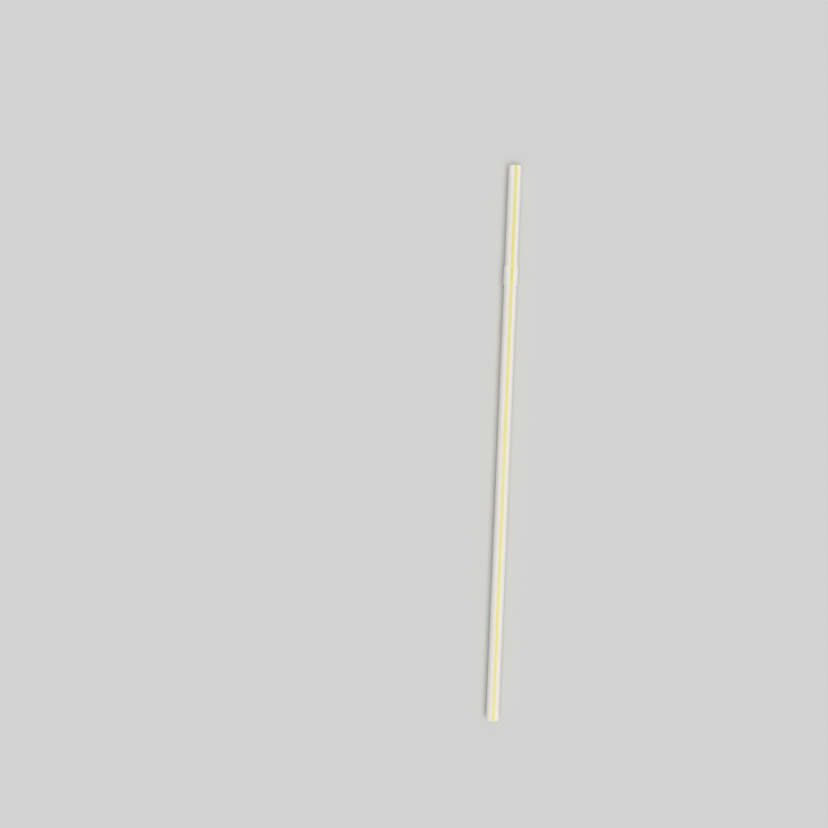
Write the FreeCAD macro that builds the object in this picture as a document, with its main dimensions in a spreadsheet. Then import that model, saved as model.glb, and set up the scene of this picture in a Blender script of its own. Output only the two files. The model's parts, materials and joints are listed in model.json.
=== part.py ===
"""Flexible drinking straw, lying on its side.

One tube of thin plastic, cut square and open at both ends. Near the mouth end its wall is pressed
out into a bellows, drawn here as it is packed: pushed together, so that each short flank stands
close over the long flank of the fold before it.

Millimetres. Z is up, the straw runs along Y with its mouth end at +Y, and the origin lies on the
surface it rests on, under the middle of its length. It rests on the crests of its bellows.
"""
import FreeCAD, Part
import os

import Sketcher
from FreeCAD import Vector

# Driving sizes: name, value, meaning
SIZES = (
    ("overall_length", 210.0, "end to end, bellows pushed together"),
    ("tube_diameter", 5.0, "outside of both plain lengths"),
    ("tube_wall", 0.16, "plastic in both plain lengths"),
    ("mouth_length", 38.0, "plain length above the bellows"),
    ("shoulder_length", 0.3, "cone from a plain length to the root of the nearest fold"),
    ("fold_count", 12, "folds in the bellows"),
    ("fold_pitch", 0.6, "crest to crest, pushed together"),
    ("crest_diameter", 5.7, "outside of the folds"),
    ("crest_ease", 0.05, "how far the corners of a crest are eased"),
    ("crest_lean", 0.12, "how far a crest hangs over the root of the next fold"),
    ("valley_bore", 4.3, "free way through the folds"),
    ("fold_wall", 0.13, "plastic in a fold, stretched thinner than the tube"),
)

# Places along the straw and radii that follow from the sizes
CUT_END = "sizes.overall_length / 2"
TOP_ROOT = f"{CUT_END} - sizes.mouth_length - sizes.shoulder_length"
FOOT_ROOT = f"{TOP_ROOT} - sizes.fold_count * sizes.fold_pitch"
LONG_LENGTH = f"{CUT_END} + {FOOT_ROOT} - sizes.shoulder_length"
TUBE_RADIUS = "sizes.tube_diameter / 2"
CREST_RADIUS = "sizes.crest_diameter / 2"
VALLEY_RADIUS = "sizes.valley_bore / 2"

ORIGIN = (-1, 1)


def add_sheet(doc):
    """Spreadsheet of the driving sizes, one named cell each."""
    sheet = doc.addObject("Spreadsheet::Sheet", "sizes")
    for row, (alias, value, meaning) in enumerate(SIZES, start=1):
        sheet.set(f"A{row}", alias)
        sheet.set(f"B{row}", str(value))
        sheet.set(f"C{row}", meaning)
        sheet.setAlias(f"B{row}", alias)
    doc.recompute()
    return sheet


def fold_roots(sizes):
    """Where the groove before the first fold and the groove after the last one lie along the straw."""
    top = sizes.overall_length / 2 - sizes.mouth_length - sizes.shoulder_length
    return top - sizes.fold_count * sizes.fold_pitch, top


def add_section(body, name, points):
    """Closed outline on the upright plane along the straw: x is along it and y is the radius."""
    sketch = body.newObject("Sketcher::SketchObject", name)
    plane = next(item for item in body.Origin.OriginFeatures if item.Role == "YZ_Plane")
    sketch.AttachmentSupport = [(plane, "")]
    sketch.MapMode = "FlatFace"
    corners = [Vector(along, radius, 0) for along, radius in points]
    for start, end in zip(corners, corners[1:] + corners[:1]):
        sketch.addGeometry(Part.LineSegment(start, end))
    for line in range(len(corners)):
        following = (line + 1) % len(corners)
        sketch.addConstraint(Sketcher.Constraint("Coincident", line, 2, following, 1))
    return sketch


def corner(line):
    """The corner that a line starts from."""
    return (line, 1)


def align(sketch, direction, *lines):
    """Make whole lines run along the straw (Horizontal) or square across it (Vertical)."""
    for line in lines:
        sketch.addConstraint(Sketcher.Constraint(direction, line))


def level(sketch, direction, start, end):
    """Give two corners the same radius (Horizontal) or the same place along the straw (Vertical)."""
    sketch.addConstraint(Sketcher.Constraint(direction, *start, *end))


def tie(sketch, name, constraint, expression):
    """Add a dimension and bind it to the sizes."""
    index = sketch.addConstraint(constraint)
    sketch.renameConstraint(index, name)
    sketch.setExpression(f"Constraints[{index}]", expression)


def span(sketch, name, direction, start, end, expression):
    """Distance from start to end along the straw (DistanceX) or in radius (DistanceY)."""
    step = sketch.getPoint(*end) - sketch.getPoint(*start)
    drawn = step.x if direction == "DistanceX" else step.y
    tie(sketch, name, Sketcher.Constraint(direction, *start, *end, drawn), expression)


def add_turning(body, name, sketch):
    """Solid of revolution about the straw's axis."""
    turning = body.newObject("PartDesign::Revolution", name)
    turning.Profile = sketch
    turning.ReferenceAxis = (sketch, ["H_Axis"])
    turning.Angle = 360
    return turning


def draw_tube(body, name, sizes, side, root, plain_length):
    """Wall of one plain length, from its cut end to the root of the nearest fold.

    side is 1 for the mouth end and -1 for the long end, and root is where that fold's root lies.
    """
    end = side * sizes.overall_length / 2
    neck = root + side * sizes.shoulder_length
    outer = sizes.tube_diameter / 2
    inner = outer - sizes.tube_wall
    valley = sizes.valley_bore / 2
    sketch = add_section(body, name, (
        (end, inner),
        (end, outer),
        (neck, outer),
        (root, valley + sizes.fold_wall),
        (root, valley),
        (neck, inner),
    ))
    end_cut, outside, outer_shoulder, fold_cut, inner_shoulder, bore = range(6)

    def away_from_bellows(label, start, finish, expression):
        reach = (start, finish) if side > 0 else (finish, start)
        span(sketch, label, "DistanceX", *reach, expression)

    align(sketch, "Vertical", end_cut, fold_cut)
    align(sketch, "Horizontal", outside, bore)
    level(sketch, "Vertical", corner(bore), corner(outer_shoulder))
    away_from_bellows("half_of_straw", ORIGIN, corner(outside), CUT_END)
    away_from_bellows("plain_length", corner(outer_shoulder), corner(outside), plain_length)
    away_from_bellows("shoulder", corner(fold_cut), corner(outer_shoulder), "sizes.shoulder_length")
    span(sketch, "outer_radius", "DistanceY", ORIGIN, corner(outside), TUBE_RADIUS)
    span(sketch, "tube_wall", "DistanceY", corner(end_cut), corner(outside), "sizes.tube_wall")
    span(sketch, "valley_radius", "DistanceY", ORIGIN, corner(inner_shoulder), VALLEY_RADIUS)
    span(sketch, "fold_wall", "DistanceY", corner(inner_shoulder), corner(fold_cut), "sizes.fold_wall")
    return sketch


def draw_fold(body, sizes):
    """Wall of one fold, from root to root: a long flank, an eased crest and a short flank.

    The flanks keep the fold's wall, and so does the plastic across its crest and its valley. The
    short flank leans back over the next root. The corners start near their places, and the
    dimensions settle them.
    """
    root = fold_roots(sizes)[0]
    next_root = root + sizes.fold_pitch
    crest = sizes.crest_diameter / 2
    valley = sizes.valley_bore / 2
    wall = sizes.fold_wall
    ease = sizes.crest_ease
    overhang = next_root + sizes.crest_lean
    sketch = add_section(body, "fold_wall", (
        (root, valley + wall),
        (overhang - 2 * wall, crest - ease / 2),
        (overhang - 2 * wall + ease, crest),
        (overhang - ease, crest),
        (overhang, crest - ease),
        (next_root, valley + wall),
        (next_root, valley),
        (next_root - wall, valley),
        (next_root - wall / 2, crest - wall),
        (root + wall / 2, valley),
        (root, valley),
    ))
    (
        long_flank, long_side_ease, crest_land, short_side_ease, short_flank,
        top_cut, top_valley, short_flank_inside, long_flank_inside, foot_valley, foot_cut,
    ) = range(11)
    align(sketch, "Vertical", top_cut, foot_cut)
    align(sketch, "Horizontal", crest_land, top_valley, foot_valley)
    level(sketch, "Horizontal", corner(long_flank), corner(top_cut))
    level(sketch, "Horizontal", corner(foot_cut), corner(top_valley))
    for label, start, finish, expression in (
        ("first_root", ORIGIN, corner(long_flank), FOOT_ROOT),
        ("pitch", corner(long_flank), corner(top_cut), "sizes.fold_pitch"),
        ("lean", corner(top_cut), corner(short_flank), "sizes.crest_lean"),
        ("long_side_ease", corner(long_side_ease), corner(crest_land), "sizes.crest_ease"),
        ("short_side_ease", corner(short_side_ease), corner(short_flank), "sizes.crest_ease"),
    ):
        span(sketch, label, "DistanceX", start, finish, expression)
    for label, start, finish, expression in (
        ("crest_radius", ORIGIN, corner(crest_land), CREST_RADIUS),
        ("long_side_drop", corner(long_side_ease), corner(crest_land), "sizes.crest_ease / 2"),
        ("short_side_drop", corner(short_flank), corner(short_side_ease), "sizes.crest_ease"),
        ("valley_radius", ORIGIN, corner(foot_cut), VALLEY_RADIUS),
        ("wall_at_valley", corner(foot_cut), corner(long_flank), "sizes.fold_wall"),
        ("wall_at_crest", corner(long_flank_inside), corner(crest_land), "sizes.fold_wall"),
    ):
        span(sketch, label, "DistanceY", start, finish, expression)
    for label, outside, inside in (
        ("long_flank_wall", long_flank, long_flank_inside),
        ("short_flank_wall", short_flank, short_flank_inside),
    ):
        sketch.addConstraint(Sketcher.Constraint("Parallel", outside, inside))
        thickness = Sketcher.Constraint("Distance", *corner(long_flank_inside), outside, wall)
        tie(sketch, label, thickness, "sizes.fold_wall")
    return sketch


def add_straw(doc, sizes):
    """The whole wall: the long plain length, the row of folds, then the mouth length."""
    body = doc.addObject("PartDesign::Body", "straw")
    body.Label = "straw"
    foot_root, top_root = fold_roots(sizes)
    long_wall = draw_tube(body, "long_tube_wall", sizes, -1, foot_root, LONG_LENGTH)
    add_turning(body, "long_tube", long_wall)

    fold_wall = draw_fold(body, sizes)
    fold = add_turning(body, "fold", fold_wall)
    bellows = body.newObject("PartDesign::LinearPattern", "bellows")
    bellows.Originals = [fold]
    bellows.Direction = (fold_wall, ["H_Axis"])
    bellows.setExpression("Length", "(sizes.fold_count - 1) * sizes.fold_pitch")
    bellows.setExpression("Occurrences", "sizes.fold_count")
    body.Tip = bellows

    mouth_wall = draw_tube(body, "mouth_tube_wall", sizes, 1, top_root, "sizes.mouth_length")
    body.Tip = add_turning(body, "mouth_tube", mouth_wall)
    body.setExpression("Placement.Base.z", CREST_RADIUS)
    return body


def check(doc):
    """Stop on any object that failed to build, and on any sub-part that isn't one sound solid."""
    for item in doc.Objects:
        if "Invalid" in item.State or "Error" in item.State:
            raise RuntimeError(f"{item.Name} failed: {item.State}")
    for body in doc.findObjects("PartDesign::Body"):
        if body.Shape.isNull() or not body.Shape.isValid() or len(body.Shape.Solids) != 1:
            raise RuntimeError(f"{body.Label} is not one sound solid")


def main():
    doc = FreeCAD.newDocument("drinking_straw")
    sizes = add_sheet(doc)
    add_straw(doc, sizes)
    doc.recompute()
    check(doc)
    os.makedirs("parts", exist_ok=True)
    for body in doc.findObjects("PartDesign::Body"):
        body.Shape.exportStep(f"parts/{body.Label}.step")
        box = body.Shape.BoundBox
        print(body.Label, f"{body.Shape.Volume:.2f} mm3, {len(body.Shape.Faces)} faces,", box)


main()
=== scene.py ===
import json
import math

import bmesh
import bpy
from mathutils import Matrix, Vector


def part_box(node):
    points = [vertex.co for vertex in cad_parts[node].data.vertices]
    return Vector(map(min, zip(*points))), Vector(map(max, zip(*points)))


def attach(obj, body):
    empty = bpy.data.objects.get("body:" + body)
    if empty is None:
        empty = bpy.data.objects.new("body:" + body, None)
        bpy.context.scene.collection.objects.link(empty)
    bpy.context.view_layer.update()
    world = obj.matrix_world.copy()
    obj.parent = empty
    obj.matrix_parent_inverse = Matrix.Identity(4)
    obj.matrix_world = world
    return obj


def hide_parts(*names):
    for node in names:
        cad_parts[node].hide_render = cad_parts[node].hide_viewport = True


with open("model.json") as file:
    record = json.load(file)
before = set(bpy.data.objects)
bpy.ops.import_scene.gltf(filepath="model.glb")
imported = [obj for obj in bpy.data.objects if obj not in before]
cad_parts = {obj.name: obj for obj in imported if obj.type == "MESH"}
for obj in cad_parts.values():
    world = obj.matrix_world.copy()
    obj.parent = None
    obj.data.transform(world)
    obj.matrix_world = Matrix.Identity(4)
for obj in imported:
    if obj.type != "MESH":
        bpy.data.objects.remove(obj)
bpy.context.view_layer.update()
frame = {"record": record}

# Straw: a tube of white polypropylene, drawn out of a ring-shaped die and cut square.
# Its folds are pressed out between rollers while the plastic is warm, then pushed together.
# Three thin yellow lines are fed into the same die, so they lie in the wall and run through the folds.
MM = 0.001
mounts = {mount["name"]: mount["dims"] for mount in frame["record"]["mounts"]}
straw_low, straw_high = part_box("straw")
CUT_END = straw_high.y
AXIS_HEIGHT = (straw_low.z + straw_high.z) / 2
CREST_RADIUS = straw_high.z - AXIS_HEIGHT
TUBE_RADIUS = mounts["long_outside"]["r_mm"] * MM
BORE_RADIUS = mounts["long_bore"]["r_mm"] * MM
LONG_NECK = mounts["long_outside"]["length_mm"] * MM - CUT_END
MOUTH_NECK = CUT_END - mounts["mouth_outside"]["length_mm"] * MM

FOLDS = 12
SHOULDER = 0.3 * MM
VALLEY_RADIUS = 2.15 * MM
FOLD_WALL = 0.13 * MM
CREST_WIDTH = 0.22 * MM
OVERHANG = 0.13 * MM
CREST_ROUNDING = 0.085 * MM
CREASE_ROUNDING = 0.03 * MM
RIM_ROUNDING = 0.03 * MM
HOLDING_LOOP = 0.15 * MM
SIDES = 120
CLOSE = 0.002 * MM
SMOOTH_UP_TO = math.radians(60)

ROOT_RADIUS = VALLEY_RADIUS + FOLD_WALL
FIRST_ROOT = LONG_NECK + SHOULDER
FOLD_PITCH = (MOUTH_NECK - SHOULDER - FIRST_ROOT) / FOLDS


def plain_length(neck, end, radius):
    """Rings from a fold's neck to a cut end, with loops beside both that keep the shading straight."""
    outward = math.copysign(HOLDING_LOOP, end - neck)
    return [(neck, radius), (neck + outward, radius), (end - outward, radius), (end, radius)]


def outer_fold(root):
    """Rings of one fold's outside: up the long flank, across the crest, back down the short flank."""
    next_root = root + FOLD_PITCH
    return [
        (root, ROOT_RADIUS),
        (next_root + OVERHANG - CREST_WIDTH, CREST_RADIUS),
        (next_root + OVERHANG, CREST_RADIUS),
        (next_root, ROOT_RADIUS),
    ]


def inner_fold(root):
    """Rings of one fold's inside, where both flanks lie one wall further in."""
    depth = CREST_RADIUS - ROOT_RADIUS
    long_run = FOLD_PITCH + OVERHANG - CREST_WIDTH
    long_shift = FOLD_WALL * math.hypot(long_run, depth) / depth
    short_shift = FOLD_WALL * math.hypot(OVERHANG, depth) / depth
    rise = (FOLD_PITCH - long_shift - short_shift) / (long_run - OVERHANG)
    below = FOLD_WALL / depth
    return [
        (root + long_shift - long_run * below, VALLEY_RADIUS),
        (root + long_shift + long_run * rise, ROOT_RADIUS + depth * rise),
        (root + FOLD_PITCH - short_shift - OVERHANG * below, VALLEY_RADIUS),
    ]


def skin_rings(radius, fold):
    """Rings of one skin of the wall, from the long cut end to the mouth."""
    rings = plain_length(LONG_NECK, -CUT_END, radius)[::-1]
    for number in range(FOLDS):
        rings += fold(FIRST_ROOT + number * FOLD_PITCH)
    return rings + plain_length(MOUTH_NECK, CUT_END, radius)


def round_off(piece, wanted, rounding, steps):
    """Round the edges that run round the straw at the places and radii that wanted accepts."""
    bpy.ops.mesh.select_mode(type="EDGE")
    bpy.ops.mesh.select_all(action="DESELECT")
    mesh = bmesh.from_edit_mesh(piece.data)
    for edge in mesh.edges:
        start, end = edge.verts
        radius = math.hypot(start.co.x, start.co.z - AXIS_HEIGHT)
        if abs(start.co.y - end.co.y) < CLOSE and wanted(start.co.y, radius):
            edge.select_set(True)
    bmesh.update_edit_mesh(piece.data)
    bpy.ops.mesh.bevel(offset=rounding, segments=steps, affect="EDGES")


def at_rim(place, radius):
    return abs(place) > CUT_END - CLOSE


def on_crest(place, radius):
    return radius > CREST_RADIUS - CLOSE


def in_crease(place, radius):
    return LONG_NECK - CLOSE < place < MOUTH_NECK + CLOSE and not on_crest(place, radius)


# The outside is drawn out from the long end to the mouth, then the inside back to where it began.
outside = skin_rings(TUBE_RADIUS, outer_fold)
inside = skin_rings(BORE_RADIUS, inner_fold)[::-1]
rings = outside + inside + outside[:1]
bpy.ops.object.select_all(action="DESELECT")
bpy.ops.mesh.primitive_circle_add(
    vertices=SIDES,
    radius=TUBE_RADIUS,
    location=(0, -CUT_END, AXIS_HEIGHT),
    rotation=(math.pi / 2, 0, 0),
)
bpy.ops.object.transform_apply(location=True, rotation=True)
straw = bpy.context.object
straw.name = "drinking_straw"
bpy.ops.object.mode_set(mode="EDIT")
bpy.ops.mesh.select_all(action="SELECT")
for (place, radius), (next_place, next_radius) in zip(rings, rings[1:]):
    growth = next_radius / radius
    bpy.ops.mesh.extrude_edges_indiv()
    bpy.ops.transform.translate(value=(0, next_place - place, 0))
    bpy.ops.transform.resize(value=(growth, 1, growth), center_override=(0, next_place, AXIS_HEIGHT))
bpy.ops.mesh.select_all(action="SELECT")
bpy.ops.mesh.remove_doubles(threshold=CLOSE)
round_off(straw, in_crease, CREASE_ROUNDING, steps=2)
round_off(straw, on_crest, CREST_ROUNDING, steps=4)
round_off(straw, at_rim, RIM_ROUNDING, steps=2)
bpy.ops.mesh.select_all(action="SELECT")
bpy.ops.mesh.normals_make_consistent(inside=False)
bpy.ops.object.mode_set(mode="OBJECT")
bpy.ops.object.shade_smooth_by_angle(angle=SMOOTH_UP_TO)


def linear(hex_colour):
    """An sRGB hex value as the linear colour that a shader takes."""
    values = [int(hex_colour[place:place + 2], 16) / 255 for place in (1, 3, 5)]
    return (*[v / 12.92 if v <= 0.04045 else ((v + 0.055) / 1.055) ** 2.4 for v in values], 1)


def add_node(material, kind, settings=(), inputs=()):
    """Add a node, with its settings as given and its inputs set or linked by name or number.

    A Mix node has a socket of its own for each type: its colours go into 6 and 7 and out of 2.
    """
    node = material.node_tree.nodes.new("ShaderNode" + kind)
    for name, value in dict(settings).items():
        setattr(node, name, value)
    for socket, value in dict(inputs).items():
        if isinstance(value, bpy.types.NodeSocket):
            material.node_tree.links.new(value, node.inputs[socket])
        else:
            node.inputs[socket].default_value = value
    return node


def new_material(name):
    """An empty node material and its output."""
    material = bpy.data.materials.new(name)
    material.use_nodes = True
    material.node_tree.nodes.clear()
    return material, add_node(material, "OutputMaterial")


# Extruded polypropylene, pigmented white: smooth and half glossy, and light comes a little way
# through so thin a wall. The die leaves faint lines along it. Between the necks both colours are
# paler:
# partly the real whitening of stretched plastic, and partly painted light that lifts the folds against
# the shade in their grooves. The yellow pigment ends softly, because the two melts run together.
TUBE_WHITE = "#F0EBE5"
TUBE_YELLOW = "#DAD57F"
# The fold colours are paler than stretching alone would make them: painted light that offsets the
# shade in the folds' grooves.
FOLD_WHITE_WITH_PAINTED_LIGHT = "#FCF7F0"
FOLD_YELLOW_WITH_PAINTED_LIGHT = "#E8E394"
LIGHT_REACH = 0.2 * MM
LINES = 3
LINE_WIDTH = 1.2 * MM
LINE_SOFTNESS = 0.9 * MM
LINE_AT_MOUTH = math.radians(3)
LINE_AT_LONG_END = math.radians(1.5)
DIE_LINE_SPACING = 0.22 * MM
DIE_LINE_RUN = 60 * MM
DIE_LINE_DEPTH = 0.005 * MM


def polypropylene():
    """White wall plastic with its fed-in lines."""
    plastic, output = new_material("extruded_polypropylene")

    # Every pattern is laid out by the angle round the straw's axis and the place along it.
    place = add_node(plastic, "TexCoord").outputs["Object"]
    centred = add_node(plastic, "Mapping", (), {"Vector": place, "Location": (0, 0, -AXIS_HEIGHT)})
    across, along, height = add_node(plastic, "SeparateXYZ", (), {0: centred.outputs[0]}).outputs
    angle = add_node(plastic, "Math", {"operation": "ARCTAN2"}, {0: across, 1: height}).outputs[0]

    # The lines turn a little along the straw, and off_line is the angle to the nearest one.
    line_angle = add_node(plastic, "Math", {"operation": "MULTIPLY_ADD"}, {
        0: along,
        1: (LINE_AT_MOUTH - LINE_AT_LONG_END) / (2 * CUT_END),
        2: (LINE_AT_MOUTH + LINE_AT_LONG_END) / 2,
    }).outputs[0]
    turned = add_node(plastic, "Math", {"operation": "SUBTRACT"}, {0: angle, 1: line_angle}).outputs[0]
    off_line = add_node(plastic, "Math", {"operation": "PINGPONG"}, {
        0: turned, 1: math.pi / LINES,
    }).outputs[0]
    pigment = add_node(plastic, "MapRange", {"interpolation_type": "SMOOTHSTEP"}, {
        "Value": off_line,
        "From Min": (LINE_WIDTH + LINE_SOFTNESS) / 2 / TUBE_RADIUS,
        "From Max": (LINE_WIDTH - LINE_SOFTNESS) / 2 / TUBE_RADIUS,
    }).outputs[0]

    # Between the two necks both colours are paler: stretched plastic, and painted light against the
    # shade in the folds' grooves.
    folds_painted_lighter = add_node(plastic, "Math", {"operation": "COMPARE"}, {
        0: along, 1: (LONG_NECK + MOUTH_NECK) / 2, 2: (MOUTH_NECK - LONG_NECK) / 2,
    }).outputs[0]
    white = add_node(plastic, "Mix", {"data_type": "RGBA"}, {
        0: folds_painted_lighter, 6: linear(TUBE_WHITE), 7: linear(FOLD_WHITE_WITH_PAINTED_LIGHT),
    }).outputs[2]
    yellow = add_node(plastic, "Mix", {"data_type": "RGBA"}, {
        0: folds_painted_lighter, 6: linear(TUBE_YELLOW), 7: linear(FOLD_YELLOW_WITH_PAINTED_LIGHT),
    }).outputs[2]
    colour = add_node(plastic, "Mix", {"data_type": "RGBA"}, {
        0: pigment, 6: white, 7: yellow,
    }).outputs[2]

    # The die's lines are narrow across the wall and long along it.
    unrolled = add_node(plastic, "CombineXYZ", (), {0: angle, 1: along}).outputs[0]
    die_lines = add_node(plastic, "Mapping", (), {
        "Vector": unrolled, "Scale": (TUBE_RADIUS / DIE_LINE_SPACING, 1 / DIE_LINE_RUN, 1),
    }).outputs[0]
    relief = add_node(plastic, "TexNoise", (), {
        "Vector": die_lines, "Scale": 1, "Detail": 2,
    }).outputs[0]
    bump = add_node(plastic, "Bump", (), {"Height": relief, "Distance": DIE_LINE_DEPTH}).outputs[0]
    shader = add_node(plastic, "BsdfPrincipled", (), {
        "Base Color": colour,
        "Roughness": 0.28,
        "IOR": 1.49,
        "Subsurface Weight": 1,
        "Subsurface Scale": LIGHT_REACH,
        "Subsurface Radius": (1, 1, 1),
        "Normal": bump,
    })
    plastic.node_tree.links.new(shader.outputs[0], output.inputs[0])
    return plastic


straw.data.materials.append(polypropylene())
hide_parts("straw")
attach(straw, "root")

# Floor: a sheet of pale grey matt paper that the straw lies on. It is darker than the white plastic,
# so the straw's edges stand out, and it keeps the straw's soft shadow.
PAPER_GREY = "#CDCDCD"
PAPER_SIZE = 6


def matt_paper():
    """Paper without gloss, so that it looks the same from every side."""
    paper, output = new_material("matt_paper")
    matt = add_node(paper, "BsdfDiffuse", (), {"Color": linear(PAPER_GREY)})
    paper.node_tree.links.new(matt.outputs[0], output.inputs[0])
    return paper


bpy.ops.mesh.primitive_plane_add(size=PAPER_SIZE, location=(0, 0, 0))
floor = bpy.context.object
floor.name = "floor"
floor.data.materials.append(matt_paper())

# Light: a broad soft light from above, a little to the right and towards the long end, and an even
# white room. Each level is about the share of full white that it gives a level sheet. Behind the
# paper's far edge the camera sees a backdrop of the paper's own tone.
SUN_FROM = Vector((0.12, -0.2, 1))
SUN_SPREAD = math.radians(52)
SUN_LEVEL = 0.7
ROOM_LEVEL = 0.36
BACKDROP_LEVEL = linear(PAPER_GREY)[0] * (SUN_LEVEL + ROOM_LEVEL)

sun = bpy.data.objects.new("soft_sun", bpy.data.lights.new("soft_sun", "SUN"))
sun.data.angle = SUN_SPREAD
sun.data.energy = SUN_LEVEL * math.pi / SUN_FROM.normalized().z
sun.rotation_euler = SUN_FROM.to_track_quat("Z", "Y").to_euler()
bpy.context.scene.collection.objects.link(sun)

room = bpy.data.worlds.new("white_room")
room.use_nodes = True
room.node_tree.nodes.clear()
rays = add_node(room, "LightPath").outputs
reflected = add_node(room, "Math", {"operation": "MAXIMUM"}, {
    0: rays["Is Glossy Ray"], 1: rays["Is Transmission Ray"],
}).outputs[0]
seen = add_node(room, "Math", {"operation": "MAXIMUM"}, {
    0: rays["Is Camera Ray"], 1: reflected,
}).outputs[0]
level = add_node(room, "MapRange", (), {
    "Value": seen, "To Min": ROOM_LEVEL, "To Max": BACKDROP_LEVEL,
}).outputs[0]
background = add_node(room, "Background", (), {"Color": (1, 1, 1, 1), "Strength": level})
room.node_tree.links.new(background.outputs[0], add_node(room, "OutputWorld").inputs[0])
bpy.context.scene.world = room

# Camera: straight above, as the photograph was taken, with the straw where it lies in that frame:
# its middle at MIDDLE_PIXEL, and its mouth end up and leaning to the right.
FRAME_PIXELS = 828
PIXELS_PER_METRE = 2637
MIDDLE_PIXEL = Vector((503.9, 442.8))
STRAW_LEAN = math.radians(2.367)
CAMERA_HEIGHT = 0.441
NEAREST_SEEN = 0.01

camera = bpy.data.objects.new("camera", bpy.data.cameras.new("camera"))
camera.data.lens = camera.data.sensor_width * CAMERA_HEIGHT / (FRAME_PIXELS / PIXELS_PER_METRE)
camera.data.clip_start = NEAREST_SEEN
right = Vector((math.cos(STRAW_LEAN), math.sin(STRAW_LEAN), 0))
upward = Vector((-math.sin(STRAW_LEAN), math.cos(STRAW_LEAN), 0))
aside = (MIDDLE_PIXEL - Vector((FRAME_PIXELS, FRAME_PIXELS)) / 2) / PIXELS_PER_METRE
camera.location = upward * aside.y - right * aside.x + Vector((0, 0, AXIS_HEIGHT + CAMERA_HEIGHT))
camera.rotation_euler = (0, 0, STRAW_LEAN)
bpy.context.scene.collection.objects.link(camera)
bpy.context.scene.camera = camera

bpy.context.scene.view_settings.view_transform = "Standard"
